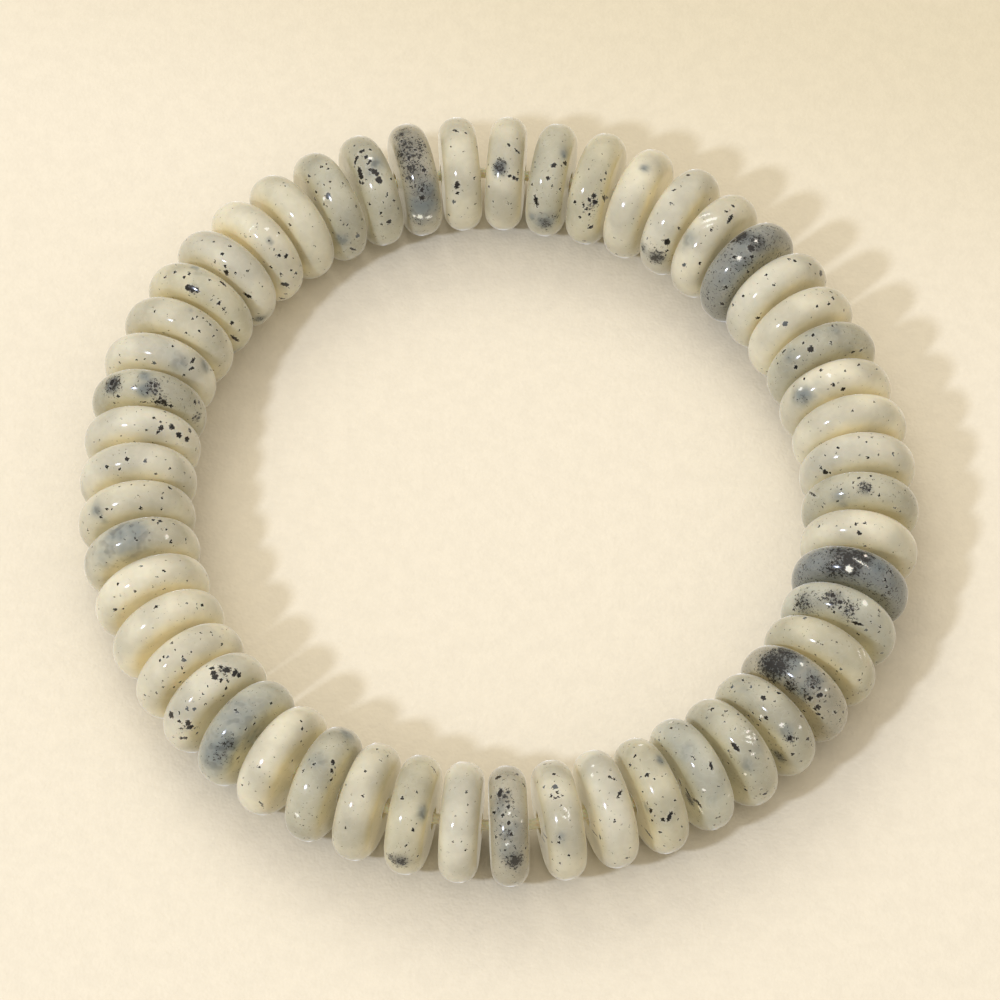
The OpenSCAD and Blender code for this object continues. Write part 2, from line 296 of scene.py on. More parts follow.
# Patches of fine black granules. Columns as the clouds'.
GRANULES = {
    1: [(865, 488, 9, 0.9)],
    3: [(846, 555, 22, 1.0), (832, 570, 16, 0.8), (864, 556, 15, 1.0), (888, 590, 14, 0.5),
        (851, 565, 13, 1.3)],
    4: [(834, 598, 14, 0.8), (803, 604, 18, 0.7), (848, 608, 15, 0.6), (818, 602, 14, 0.5)],
    6: [(772, 664, 21, 1.15), (787, 652, 15, 1.1), (790, 686, 10, 1.0), (814, 682, 12, 0.7),
        (764, 670, 10, 0.9), (806, 694, 12, 0.6), (800, 655, 12, 0.6)],
    7: [(790, 738, 7, 0.8), (779, 756, 9, 0.8)], 9: [(690, 800, 9, 1.0)],
    13: [(515, 861, 12, 0.9), (503, 798, 13, 0.7), (506, 835, 12, 0.5)],
    15: [(400, 861, 12, 0.9), (390, 857, 6, 0.8)], 19: [(227, 744, 9, 0.7), (220, 756, 14, 0.45)],
    20: [(222, 672, 10, 0.6), (184, 729, 9, 0.5)],
    28: [(112, 384, 12, 1.0), (160, 402, 10, 0.7), (197, 418, 9, 0.6), (152, 388, 12, 0.7)],
    31: [(193, 289, 7, 0.8)], 32: [(258, 320, 6, 0.6)],
    37: [(408, 150, 25, 0.75), (413, 170, 20, 0.7), (400, 134, 14, 0.7), (422, 191, 15, 0.6),
         (418, 221, 14, 0.5)],
    39: [(500, 167, 8, 1.0)], 40: [(546, 224, 9, 0.8), (556, 218, 6, 0.5)],
    41: [(592, 205, 10, 0.5), (600, 190, 9, 0.3)], 43: [(657, 258, 11, 1.0), (643, 248, 6, 0.7)],
    45: [(725, 236, 13, 0.9), (741, 236, 13, 1.0), (757, 242, 12, 1.0), (748, 262, 10, 0.6)],
    49: [(803, 396, 7, 0.5)],
}

# Numbers of the patterns, in millimetres

# What most of a noise's values lie between
NOISE_RANGE = (0.3, 0.7)

# Noises, in waves per millimetre: uneven polish, milky zones, veils, granules, ragged edges
POLISH_WAVES = 0.3
ZONE_WAVES = 0.3
VEIL_WAVES = 1.0
GRAIN_WAVES = 4.4
STRAY_WAVES = 7.0

# Specks sown at random: cells per millimetre, the least and the greatest radius, and the shares
# of a speck's radius that its edge fades between
SOWN_PER_MM = 1.9
SOWN_LEAST = 0.03
SOWN_MOST = 0.11
SOWN_EDGE = (1.2, 0.7)

# How far in from the rim the painted amber light and painted glow between two beads are deepest
PAINTED_GLOW_DEPTH = 2.5

# How slim a crisp mark is drawn at random: its width against its length
CHARTED_SLIMNESS = (0.5, 0.95)
HIDDEN_SLIMNESS = (0.4, 0.95)

# Grains on the hidden side of a bead: their half widths, and how often each one comes
HIDDEN_HALF_WIDTHS = (0.09, 0.12, 0.16, 0.24)
HIDDEN_CHANCES = (0.4, 0.3, 0.2, 0.1)
# A face counts as hidden when it looks away from the camera by more than this cosine
TURNED_AWAY = 0.3

# Each face of a bead keeps this many crisp marks, the nearest ones, or one far off
MARK_LAYERS = 2
FAR_OFF = 1e4

# Shares of a crisp mark's half width that its edge fades between
MARK_EDGE = (1.2, 0.8)

# The pale ring round each crisp mark: its width, how much of it shows, and its edge's shares
RING_WIDTH = 0.09
RING_STRENGTH = 0.14
RING_EDGE = (1.3, 1.1)

GROUND_OF_GRANULES = (0.07, 0.075, 0.07, 1.0)

# Each bead's polish comes from another part of one noise, this much further on
SEED_STEP = 50.0

# The thread's strands and the floor's mottling and grain, in waves per millimetre
STRAND_WAVES = 3.0
MOTTLE_WAVES = 0.6
FLOOR_GRAIN_WAVES = 2.0

# The painted shade of the floor, darker and warmer, begins and is full at these distances behind
# the bracelet's middle, and this share of the distance to the right counts with them
PAINTED_SHADE_FROM = 25.0
PAINTED_SHADE_TO = 70.0
RIGHT_SHARE = 0.35


# What the panel's settings are made of

def colour_setting(name, description, default):
    """A colour."""
    return bpy.props.FloatVectorProperty(
        name=name, description=description, default=default, size=3, min=0.0, max=1.0,
        subtype="COLOR")


def length_setting(name, description, default, least=0.0, most=10.0):
    """A length."""
    return bpy.props.FloatProperty(
        name=name, description=description, default=default, min=least, max=most,
        unit="LENGTH", precision=5)


def number_setting(name, description, default, least=0.0, most=1.0, **kind):
    """A plain number, or a share or power where kind says so."""
    return bpy.props.FloatProperty(
        name=name, description=description, default=default, min=least, max=most, **kind)


def count_setting(name, description, default, least, most):
    """A whole number."""
    return bpy.props.IntProperty(
        name=name, description=description, default=default, min=least, max=most)


def direction_setting(name, description, default):
    """A way to point."""
    return bpy.props.FloatVectorProperty(
        name=name, description=description, default=default, size=3, subtype="DIRECTION")


class BeadSizes(bpy.types.PropertyGroup):
    """Sizes of one turned bead."""

    rim_radius: length_setting(
        "Rim Radius", "Radius that rounds the rim into the faces", 1.5 * MM, 1.0 * MM, 1.6 * MM)
    crown: length_setting(
        "Crown", "How far a face bulges between the rim and the hub",
        0.08 * MM, 0.02 * MM, 0.2 * MM)
    bore: length_setting("Bore", "Diameter of the drilled hole", 1.6 * MM, 1.4 * MM, 2.0 * MM)
    mouth: length_setting(
        "Bore Mouth", "Width of the worn edge round the hole", 0.12 * MM, 0.05 * MM, 0.3 * MM)
    unevenness: length_setting(
        "Unevenness", "How far hand polishing leaves the surface from true",
        0.03 * MM, 0.0, 0.1 * MM)
    sides: count_setting("Sides", "Steps round a bead", 84, 24, 128)
    arc_steps: count_setting("Arc Steps", "Steps along each arc of the profile", 12, 4, 24)


class StoneLook(bpy.types.PropertyGroup):
    """Colours and finish of the stone."""

    cream: colour_setting("Cream Stone", "Body of the warmest beads", (0.615, 0.585, 0.445))
    light: colour_setting("Light Stone", "Body of the light beads", (0.55, 0.53, 0.415))
    milky: colour_setting("Milky Stone", "Body of the milky beads", (0.53, 0.505, 0.38))
    pale: colour_setting("Pale Stone", "Body of the pale beads", (0.49, 0.465, 0.335))
    grey_green: colour_setting(
        "Grey Green Stone", "Body of the cooler beads", (0.425, 0.412, 0.31))
    grey: colour_setting("Grey Stone", "Body of the grey beads", (0.37, 0.35, 0.265))
    slate: colour_setting("Slate Stone", "Body of the blue grey beads", (0.445, 0.445, 0.355))
    dark: colour_setting("Dark Stone", "Body of the dark beads", (0.275, 0.28, 0.24))
    black: colour_setting("Black Stone", "Body of the darkest bead", (0.21, 0.225, 0.21))
    cloud: colour_setting("Blue Grey Cloud", "Smoky patches", (0.15, 0.185, 0.19))
    speck: colour_setting("Speck", "Black mineral specks", (0.012, 0.011, 0.009))
    grey_spot: colour_setting("Grey Spot", "Grains deeper in the stone", (0.1, 0.11, 0.11))
    fleck: colour_setting(
        "Fleck", "White mineral flecks and healed cracks", (0.82, 0.82, 0.74))
    # Painted light: the amber tint and the inner glow stand in for light that comes through the
    # stone between two beads
    painted_amber_light: colour_setting("Painted Amber Light", "Tint of the light between two beads", (1.0, 0.91, 0.7))
    painted_inner_glow: number_setting(
        "Painted Inner Glow", "Light that has wandered through the stone into the gaps", 0.18,
        subtype="FACTOR")
    raggedness: number_setting(
        "Raggedness", "How far the edges of the marks stray, in millimetres", 0.3)
    mark_width: number_setting(
        "Mark Width", "Width of the marks against their charted width", 1.12, 0.3, 1.5)
    translucency: number_setting(
        "Translucency", "Share of the light that wanders inside the stone", 0.45,
        subtype="FACTOR")
    light_reach: length_setting(
        "Light Reach", "How far light wanders inside the stone", 1.6 * MM, 0.1 * MM, 5.0 * MM)


class ThreadLook(bpy.types.PropertyGroup):
    """The elastic thread."""

    diameter: length_setting("Diameter", "Diameter of the thread", 0.88 * MM, 0.5 * MM, 1.0 * MM)
    colour: colour_setting("Colour", "Colour of the thread", (0.9, 0.8, 0.6))
    sides: count_setting("Sides", "Steps round the thread", 20, 8, 32)
    steps: count_setting("Steps", "Steps along the whole loop", 612, 102, 1020)


class StageLook(bpy.types.PropertyGroup):
    """Floor, lights and camera."""

    floor_colour: colour_setting(
        "Floor Colour", "Colour of the pale surface", (0.788, 0.728, 0.582))
    # Painted shade: how much darker and warmer the floor is made towards the far right
    painted_far_shade: colour_setting(
        "Painted Far Shade", "How much darker and warmer the floor is at the far right",
        (0.86, 0.84, 0.76))
    floor_width: length_setting("Floor Width", "Width of the floor", 6.0)
    key_power: number_setting(
        "Key Light", "Power of the key light", 6.4, most=100.0, unit="POWER")
    key_colour: colour_setting("Key Colour", "Colour of the key light", (0.73, 0.8, 1.0))
    key_direction: direction_setting(
        "Key Direction", "Way from the bracelet to the key light", (-0.56, -0.47, 0.68))
    key_distance: length_setting("Key Distance", "Distance of the key light", 1.2)
    key_width: length_setting("Key Width", "Width of the key light", 0.1)
    back_power: number_setting(
        "Back Light", "Power of the soft light behind", 3.6, most=100.0, unit="POWER")
    back_colour: colour_setting(
        "Back Colour", "Colour of the soft light behind", (1.0, 0.96, 0.88))
    back_direction: direction_setting(
        "Back Direction", "Way from the bracelet to the soft light behind", (-0.25, 0.62, 0.74))
    back_distance: length_setting("Back Distance", "Distance of the soft light behind", 1.2)
    back_width: length_setting("Back Width", "Width of the soft light behind", 0.7)
    sky_colour: colour_setting(
        "Sky Colour", "Colour of the soft light from all round", (1.0, 0.92, 0.835))
    sky_strength: number_setting(
        "Sky Strength", "How much stronger the soft light is overhead", 0.8, most=10.0)
    horizon_strength: number_setting(
        "Horizon Strength", "Strength of the soft light from the sides", 0.29, most=10.0)
    lens: number_setting("Lens", "Focal length in millimetres", 202.8, 1.0, 1000.0)
    distance: length_setting("Distance", "From the camera to its target", 0.486)
    elevation: bpy.props.FloatProperty(
        name="Elevation", description="Height of the camera above the horizon",
        default=math.radians(58.5), subtype="ANGLE")
    target: bpy.props.FloatVectorProperty(
        name="Target", description="Point on the floor at the middle of the picture",
        default=(0.125 * MM, 1.883 * MM, 0.0), size=3, unit="LENGTH", precision=6)


def settings():
    """The sizes and colours that the panel shows."""
    return bpy.context.scene.bracelet


# Objects and meshes

def new_object(name, data):
    """A new object in the scene."""
    made = bpy.data.objects.new(name, data)
    bpy.context.scene.collection.objects.link(made)
    return made


def closed_curve(name, dimensions, points):
    """A closed curve of straight runs through these points, as a new object."""
    curve = bpy.data.curves.new(name, "CURVE")
    curve.dimensions = dimensions
    spline = curve.splines.new("POLY")
    spline.points.add(len(points) - 1)
    for corner, point in zip(spline.points, points):
        corner.co = (*point, 1.0)
    spline.use_cyclic_u = True
    return new_object(name, curve)


def read(things, name, size):
    """One value of every corner point or face, as rows."""
    values = np.zeros(len(things) * size)
    things.foreach_get(name, values)
    return values.reshape(-1, size)


def store(mesh, name, kind, domain, values):
    """Keeps one value for each corner point or face, under a name that the material reads."""
    key = {"FLOAT": "value", "FLOAT_VECTOR": "vector", "FLOAT_COLOR": "color"}[kind]
    layer = mesh.attributes.new(name, kind, domain)
    layer.data.foreach_set(key, np.asarray(values, np.float32).ravel())


def finish_piece(piece):
    """Puts a piece on the frame's one body."""
    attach(piece, ROOT)


# Node trees

def feed(tree, node, inputs):
    """Sets a node's inputs or links them, by name or number."""
    for name, value in inputs.items():
        if isinstance(value, bpy.types.NodeSocket):
            tree.links.new(value, node.inputs[name])
        else:
            node.inputs[name].default_value = value


def add(tree, kind, inputs=None, **options):
    """Adds a node, sets its options and feeds its inputs."""
    node = tree.nodes.new(kind)
    for name, value in options.items():
        setattr(node, name, value)
    feed(tree, node, inputs or {})
    return node


def reckon(tree, operation, *values, clamp=False):
    """One Math node: its result."""
    node = add(tree, "ShaderNodeMath", dict(enumerate(values)), operation=operation,
               use_clamp=clamp)
    return node.outputs["Value"]


def times(tree, value, factor):
    """A value times a factor."""
    return reckon(tree, "MULTIPLY", value, factor)


def vector_math(tree, operation, *values, scale=None):
    """One Vector Math node: its result."""
    inputs = dict(enumerate(values))
    if scale is not None:
        inputs["Scale"] = scale
    node = add(tree, "ShaderNodeVectorMath", inputs, operation=operation)
    return node.outputs["Value" if operation == "DOT_PRODUCT" else "Vector"]


def ramp(tree, value, low, high, to_low=0.0, to_high=1.0):
    """value, from low to high, as a smooth step from to_low to to_high."""
    node = add(tree, "ShaderNodeMapRange", {
        "Value": value, "From Min": low, "From Max": high, "To Min": to_low, "To Max": to_high},
        interpolation_type="SMOOTHSTEP")
    return node.outputs["Result"]


def within(tree, far, half_width, edge):
    """1 within a half width and 0 beyond, fading between the two shares of it in edge."""
    outside, inside = edge
    return ramp(tree, far, times(tree, half_width, outside), times(tree, half_width, inside))


def noise(tree, place, scale, detail=2.0, roughness=0.5):
    """A Noise Texture node."""
    return add(tree, "ShaderNodeTexNoise", {
        "Vector": place, "Scale": scale, "Detail": detail, "Roughness": roughness})


def spread(tree, waves, low, high):
    """A noise's values, spread from low to high."""
    return ramp(tree, waves, *NOISE_RANGE, low, high)


def mix_colours(tree, share, first, second, how="MIX"):
    """The first colour, with a share of the second."""
    node = add(tree, "ShaderNodeMix", {0: share, 6: first, 7: second},
               data_type="RGBA", blend_type=how)
    return node.outputs[2]


def tinted(tree, share, colour, tint):
    """A colour, with a share of it seen through a tint."""
    return mix_colours(tree, share, colour,
                       mix_colours(tree, 1.0, colour, (*tint, 1.0), "MULTIPLY"))


def relief(tree, height, distance):
    """The normal of a surface that rises and falls with this height."""
    return add(tree, "ShaderNodeBump", {"Height": height, "Distance": distance}).outputs["Normal"]


def new_tree(name, kind, inputs, outputs):
    """A node group with these sockets, as (tree, its inputs, its output node).

    Each input is given by its kind of socket, or by the number that it has until it is set.
    """
    tree = bpy.data.node_groups.new(name, kind)
    for label, given in inputs.items():
        sort = {int: "Int", float: "Float"}.get(type(given), given)
        socket = tree.interface.new_socket(
            label, in_out="INPUT", socket_type="NodeSocket" + sort)
        if sort != given:
            socket.default_value = given
    for label, sort in outputs.items():
        tree.interface.new_socket(label, in_out="OUTPUT", socket_type="NodeSocket" + sort)
    into = tree.nodes.new("NodeGroupInput").outputs
    return tree, into, tree.nodes.new("NodeGroupOutput")


def new_material(name):
    """A material, as (material, its tree, its shader, the place on the piece in millimetres)."""
    material = bpy.data.materials.new(name)
    material.use_nodes = True
    tree = material.node_tree
    place = add(tree, "ShaderNodeTexCoord").outputs["Object"]
    place = vector_math(tree, "SCALE", place, scale=1 / MM)
    return material, tree, tree.nodes["Principled BSDF"], place


def end_in_mesh(tree, geometry, material, out):
    """Ends a Geometry Nodes tree in a real mesh with its material."""
    realized = add(tree, "GeometryNodeRealizeInstances", {"Geometry": geometry})
    painted = add(tree, "GeometryNodeSetMaterial", {
        "Geometry": realized.outputs[0], "Material": material})
    tree.links.new(painted.outputs[0], out.inputs[0])


def run_tree(tree, name, values):
    """The plain mesh that a Geometry Nodes tree makes from these named values, as a new object."""
    holder = new_object(name, bpy.data.meshes.new(name + "_start"))
    modifier = holder.modifiers.new("Shape", "NODES")
    modifier.node_group = tree
    for item in tree.interface.items_tree:
        if item.in_out == "INPUT":
            modifier[item.identifier] = values[item.name]
    graph = bpy.context.evaluated_depsgraph_get()
    mesh = bpy.data.meshes.new_from_object(holder.evaluated_get(graph))
    start = holder.data
    holder.modifiers.remove(modifier)
    holder.data = mesh
    mesh.name = name
    bpy.data.meshes.remove(start)
    return holder


# The beads' places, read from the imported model

def loose_parts(mesh):
    """The corner points of each separate solid in a mesh."""
    points = read(mesh.vertices, "co", 3)
    spots, ids = np.unique(np.round(points, 7), axis=0, return_inverse=True)
    edges = np.zeros(len(mesh.edges) * 2, int)
    mesh.edges.foreach_get("vertices", edges)
    edges = ids.ravel()[edges].reshape(-1, 2)
    owner = np.arange(len(spots))
    while True:
        lowest = owner.copy()
        np.minimum.at(lowest, edges[:, 0], owner[edges[:, 1]])
        np.minimum.at(lowest, edges[:, 1], owner[edges[:, 0]])
        lowest = lowest[lowest]
        if (lowest == owner).all():
            break
        owner = lowest
    return [spots[owner == part] for part in np.unique(owner)]


class Bead:
    """Where one bead is: its own axes, its centre, its size, its heading and its direction."""

    def __init__(self, points):
        rough = (points.min(0) + points.max(0)) / 2
        spread = np.cov((points - rough)[:, :2].T)
        onwards = np.append(np.linalg.eigh(spread)[1][:, 0], 0.0)
        clockwise = np.array([rough[1], -rough[0], 0.0])
        onwards *= np.sign(onwards @ clockwise)
        up = np.array([0.0, 0.0, 1.0])
        outwards = np.cross(up, onwards)
        if outwards @ rough < 0:
            outwards = -outwards
        # Ways outwards from the ring, onwards along the string, and up
        self.axes = np.array([outwards, onwards, up])
        seen = points @ self.axes.T
        self.centre = (seen.min(0) + seen.max(0)) / 2 @ self.axes
        self.thickness = np.ptp(seen[:, 1])
        self.diameter = np.ptp(seen[:, 2])
        # Turn of the bead's own axis from +X
        self.heading = math.atan2(onwards[1], onwards[0])
        # Way from the middle of the ring, in degrees
        self.direction = math.degrees(math.atan2(self.centre[1], self.centre[0]))


def find_beads():
    """Every bead, clockwise from the right-hand one."""
    beads = [Bead(points) for points in loose_parts(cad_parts[BEAD_NODE].data)]
    if len(beads) != BEAD_COUNT:
        raise RuntimeError(f"the packed string has {len(beads)} beads, not {BEAD_COUNT}")
    start = FIRST_BEAD_DIRECTION + 180 / BEAD_COUNT
    return sorted(beads, key=lambda bead: (start - bead.direction) % 360)


# The bead's shape

def arc(centre, radius, start, end, steps):
    """Points on an arc from one angle to another, in degrees, without its last point."""
    turns = [math.radians(start + (end - start) * step / steps) for step in range(steps)]
    return [(centre[0] + radius * math.cos(t), centre[1] + radius * math.sin(t)) for t in turns]


def bead_profile(half, radius, sizes):
    """Half section of a bead, counter-clockwise from the bore: (from the axis, along the axis)."""
    rim = sizes.rim_radius
    rim_x = radius - rim
    rim_y = half - sizes.crown - rim
    rise = rim + sizes.crown
    face = (rim_x ** 2 + rise ** 2 - rim ** 2) / (2 * sizes.crown)
    join = math.degrees(math.asin(rim_x / (face - rim)))
    bore = sizes.bore / 2
    inner = math.degrees(math.asin((bore + sizes.mouth) / face))
    lower = arc((0, face - half), face, inner - 90, join - 90, sizes.arc_steps)
    lower += arc((rim_x, -rim_y), rim, join - 90, 0, sizes.arc_steps)
    lower.append((radius, -rim_y))
    flat = [(radius, 0.0)] if rim_y > 0 else []
    upper = [(x, -y) for x, y in reversed(lower)]
    # The bore's wall ends below the mouth, where the face has fallen by a fiftieth of its crown
    wall = half - sizes.crown / 50 - sizes.mouth
    return lower + flat + upper + [(bore, wall), (bore, 0.0), (bore, -wall)]


def turned_bead_tree():
    """Turns a half section about Z, polishes it unevenly, and sets it in its place."""
    tree, into, out = new_tree("Turned bead", "GeometryNodeTree", {
        "Profile": "Object", "Turning Radius": 2.9 * MM, "Sides": 84, "Unevenness": 0.03 * MM,
        "Seed": 0.0, "Place": "Vector", "Turn": "Rotation", "Stone": "Material",
    }, {"Bead": "Geometry"})
    profile = add(tree, "GeometryNodeObjectInfo", {"Object": into["Profile"]})
    path = add(tree, "GeometryNodeCurvePrimitiveCircle", {
        "Resolution": into["Sides"], "Radius": into["Turning Radius"]})
    turned = add(tree, "GeometryNodeCurveToMesh", {
        "Curve": path.outputs["Curve"], "Profile Curve": profile.outputs["Geometry"]})
    place = add(tree, "GeometryNodeInputPosition").outputs[0]
    place = vector_math(tree, "SCALE", place, scale=1 / MM)
    place = vector_math(tree, "ADD", place, into["Seed"])
    waves = noise(tree, place, POLISH_WAVES, 1.0).outputs[0]
    height = times(tree, reckon(tree, "SUBTRACT", waves, 0.5), into["Unevenness"])
    normal = add(tree, "GeometryNodeInputNormal").outputs[0]
    polished = add(tree, "GeometryNodeSetPosition", {
        "Geometry": turned.outputs["Mesh"],
        "Offset": vector_math(tree, "SCALE", normal, scale=height)})
    smooth = add(tree, "GeometryNodeSetShadeSmooth", {"Geometry": polished.outputs[0]})
    seated = add(tree, "GeometryNodeTransform", {
        "Geometry": smooth.outputs[0], "Translation": into["Place"], "Rotation": into["Turn"]})
    end_in_mesh(tree, seated.outputs[0], into["Stone"], out)
    return tree


def make_bead(tree, name, bead, seed, stone):
    """One turned and polished bead in its place."""
    sizes = settings().sizes
    radius = bead.diameter / 2
    middle = (radius + sizes.bore / 2) / 2
    section = bead_profile(bead.thickness / 2, radius, sizes)
    profile = closed_curve("bead_profile", "2D", [(x - middle, y, 0.0) for x, y in section])
    piece = run_tree(tree, name, {
        "Profile": profile,
        "Turning Radius": middle,
        "Sides": sizes.sides,
        "Unevenness": sizes.unevenness,
        "Seed": seed,
        "Place": tuple(bead.centre),
        "Turn": (0.0, math.pi / 2, bead.heading),
        "Stone": stone,
    })
    bpy.data.objects.remove(profile)
    return piece


# The marks on each bead

class Sight:
    """Finds the point of one bead that the camera sees at a point of its picture."""

    def __init__(self, piece, bead):
        mesh = piece.data
        self.surface = BVHTree.FromPolygons(
            [corner.co for corner in mesh.vertices], [face.vertices[:] for face in mesh.polygons])
        view = bpy.context.scene.camera
        self.eye = view.location.copy()
        self.turn = view.rotation_euler.to_matrix()
        self.focal = view.data.lens / view.data.sensor_width * PICTURE
        self.centre = Vector(bead.centre)

    def land(self, across, down):
        """The place in millimetres, and how many millimetres a picture point spans there."""
        ray = self.turn @ Vector((across - PICTURE / 2, PICTURE / 2 - down, -self.focal))
        ray.normalize()
        spot = self.surface.ray_cast(self.eye, ray)[0]
        if spot is None:
            beside = self.eye + ray * (self.centre - self.eye).dot(ray)
            spot = self.surface.find_nearest(beside)[0]
        return np.array(spot) / MM, (spot - self.eye).length / self.focal / MM


class Mark:
    """One crisp mark: its middle, the way it is drawn out, its half width and its colour."""

    def __init__(self, middle, way, slim, half_width, ink):
        self.middle = middle
        self.lean = way * math.sqrt(1 - slim ** 2)
        self.half_width = half_width
        self.ink = tuple(ink)


NO_MARK = Mark(np.full(3, FAR_OFF), np.zeros(3), 1.0, 0.001, (0, 0, 0))


def any_way(rng):
    """A direction at random."""
    way = rng.normal(size=3)
    return way / np.linalg.norm(way)


def round_marks(chart, number, sight, ink, widening, rng):
    """The marks of one bead in a chart of spots, each drawn out a little at random."""
    marks = []
    for across, down, wide in chart.get(number, ()):
        middle, point = sight.land(across, down)
        slim = rng.uniform(*CHARTED_SLIMNESS)
        half_width = wide / 2 * point * widening * math.sqrt(slim)
        marks.append(Mark(middle, any_way(rng), slim, half_width, ink))
    return marks


def long_marks(chart, number, sight, ink, widening):
    """The marks of one bead in a chart of lines."""
    marks = []
    for across_a, down_a, across_b, down_b, wide in chart.get(number, ()):
        start, point = sight.land(across_a, down_a)
        end, point = sight.land(across_b, down_b)
        half_width = wide / 2 * point * widening
        half_length = np.linalg.norm(end - start) / 2 + half_width
        way = (end - start) / max(np.linalg.norm(end - start), point)
        marks.append(Mark((start + end) / 2, way, half_width / half_length, half_width, ink))
    return marks


def hidden_places(piece, sight, count, rng):
    """Places strewn at random over the side of a bead that the camera doesn't see."""
    back = sight.centre - sight.eye
    hidden = [face.center for face in piece.data.polygons
              if face.normal.dot(back) > TURNED_AWAY * back.length]
    return [np.array(hidden[pick]) / MM for pick in rng.integers(0, len(hidden), count)]


def hidden_marks(places, ink, rng):
    """A grain of random size and form at each of these places."""
    marks = []
    for middle in places:
        slim = rng.uniform(*HIDDEN_SLIMNESS)
        half_width = rng.choice(HIDDEN_HALF_WIDTHS, p=HIDDEN_CHANCES)
        marks.append(Mark(middle, any_way(rng), slim, half_width, ink))
    return marks


def patches(rows, sight, elsewhere, places):
    """How strongly soft patches colour each of these places on one bead.

    Each charted patch comes again at one of the places elsewhere, out of the camera's sight.
    """
    strength = np.zeros(len(places))
    for (across, down, radius, strong), again in zip(rows, elsewhere):
        charted, point = sight.land(across, down)
        for middle in (charted, again):
            away = np.linalg.norm(places - middle, axis=1) / (radius * point)
            strength = np.maximum(strength, strong * np.exp(-away ** 2))
    return strength


def store_marks(mesh, marks):
    """Keeps the nearest few marks on each face, the nearest as the first layer."""
    marks = marks + [NO_MARK] * MARK_LAYERS
    middles = np.array([mark.middle for mark in marks])
    widths = np.array([mark.half_width for mark in marks])
    leans = np.array([mark.lean for mark in marks])
    inks = np.array([(*mark.ink, mark.half_width) for mark in marks])
    faces = read(mesh.polygons, "center", 3) / MM
    away = np.linalg.norm(faces[:, None] - middles[None], axis=2) - widths[None]
    nearest = np.argsort(away, axis=1, kind="stable")
    for layer in range(MARK_LAYERS):
        pick = nearest[:, layer]
        store(mesh, f"mark_middle_{layer}", "FLOAT_VECTOR", "FACE", middles[pick])
        store(mesh, f"mark_lean_{layer}", "FLOAT_VECTOR", "FACE", leans[pick])
        store(mesh, f"mark_ink_{layer}", "FLOAT_COLOR", "FACE", inks[pick])


def chart_bead(piece, bead, number, look):
    """Stores one bead's stone, its marks and its soft patches on its mesh."""
    mesh = piece.data
    stone = BEAD_STONES[number - 1]
    speckle, hidden, all_over = STONES[stone]
    rng = np.random.default_rng(number)
    sight = Sight(piece, bead)
    marks = []
    for chart, ink in ((SPECKS, look.speck), (GREY_SPOTS, look.grey_spot), (FLECKS, look.fleck)):
        marks += round_marks(chart, number, sight, ink, look.mark_width, rng)
    for chart, ink in ((GRAINS, look.speck), (CRACKS, look.fleck)):
        marks += long_marks(chart, number, sight, ink, look.mark_width)
    marks += hidden_marks(hidden_places(piece, sight, hidden, rng), look.speck, rng)
    store_marks(mesh, marks)

    places = read(mesh.vertices, "co", 3) / MM
    own = (places - bead.centre / MM) @ bead.axes.T
    from_rim = bead.diameter / MM / 2 - np.hypot(own[:, 0], own[:, 2])
    body = (*getattr(look, stone), 1.0)
    store(mesh, "stone_body", "FLOAT_COLOR", "POINT", np.tile(body, (len(places), 1)))
    store(mesh, "stone_speckle", "FLOAT", "POINT", np.full(len(places), speckle))
    # Painted light mask: how far each point lies in from the rim, for the painted amber light and
    # glow between beads
    store(mesh, "stone_depth", "FLOAT", "POINT", np.clip(from_rim / PAINTED_GLOW_DEPTH, 0, 1))
    for name, chart, least in (("clouds", CLOUDS, 0.0), ("granules", GRANULES, all_over)):
        rows = chart.get(number, ())
        elsewhere = hidden_places(piece, sight, len(rows), rng)
        strength = patches(rows, sight, elsewhere, places)
        store(mesh, "stone_" + name, "FLOAT", "POINT", np.maximum(strength, least))


# The stone's material

def strayed(tree, place, stray, far):
    """The place, moved about by a noise's colour, which makes what it draws ragged."""
    off = vector_math(tree, "SUBTRACT", stray, (0.5, 0.5, 0.5))
    return vector_math(tree, "ADD", place, vector_math(tree, "SCALE", off, scale=far))


def sown_specks(tree, place, share):
    """Specks sown at random in a share of the cells: a mask, and a random value for each."""
    cells = add(tree, "ShaderNodeTexVoronoi", {"Vector": place, "Scale": SOWN_PER_MM})
    chance = add(tree, "ShaderNodeSeparateColor", {"Color": cells.outputs["Color"]})
    radius = reckon(tree, "MULTIPLY_ADD", chance.outputs[1],
                    (SOWN_MOST - SOWN_LEAST) * SOWN_PER_MM, SOWN_LEAST * SOWN_PER_MM)
    mask = within(tree, cells.outputs["Distance"], radius, SOWN_EDGE)
    kept = reckon(tree, "LESS_THAN", chance.outputs[0], share)
    return times(tree, mask, kept), chance.outputs[2]


def crisp_mark_tree():
    """One crisp mark from its middle, lean and half width: its mask, and the pale ring round it."""
    tree, into, out = new_tree("Crisp mark", "ShaderNodeTree", {
        "Place": "Vector", "Middle": "Vector", "Lean": "Vector", "Half Width": 0.1,
    }, {"Mask": "Float", "Ring": "Float"})
    half = into["Half Width"]
    away = vector_math(tree, "SUBTRACT", into["Place"], into["Middle"])
    along = vector_math(tree, "DOT_PRODUCT", away, into["Lean"])
    square = vector_math(tree, "DOT_PRODUCT", away, away)
    across = reckon(tree, "SUBTRACT", square, times(tree, along, along))
    far = reckon(tree, "SQRT", reckon(tree, "MAXIMUM", across, 0.0))
    mask = within(tree, far, half, MARK_EDGE)
    outside, inside = RING_EDGE
    ring = ramp(tree, far, reckon(tree, "MULTIPLY_ADD", half, outside, RING_WIDTH),
                times(tree, half, inside))
    feed(tree, out, {"Mask": mask, "Ring": reckon(tree, "SUBTRACT", ring, mask)})
    return tree


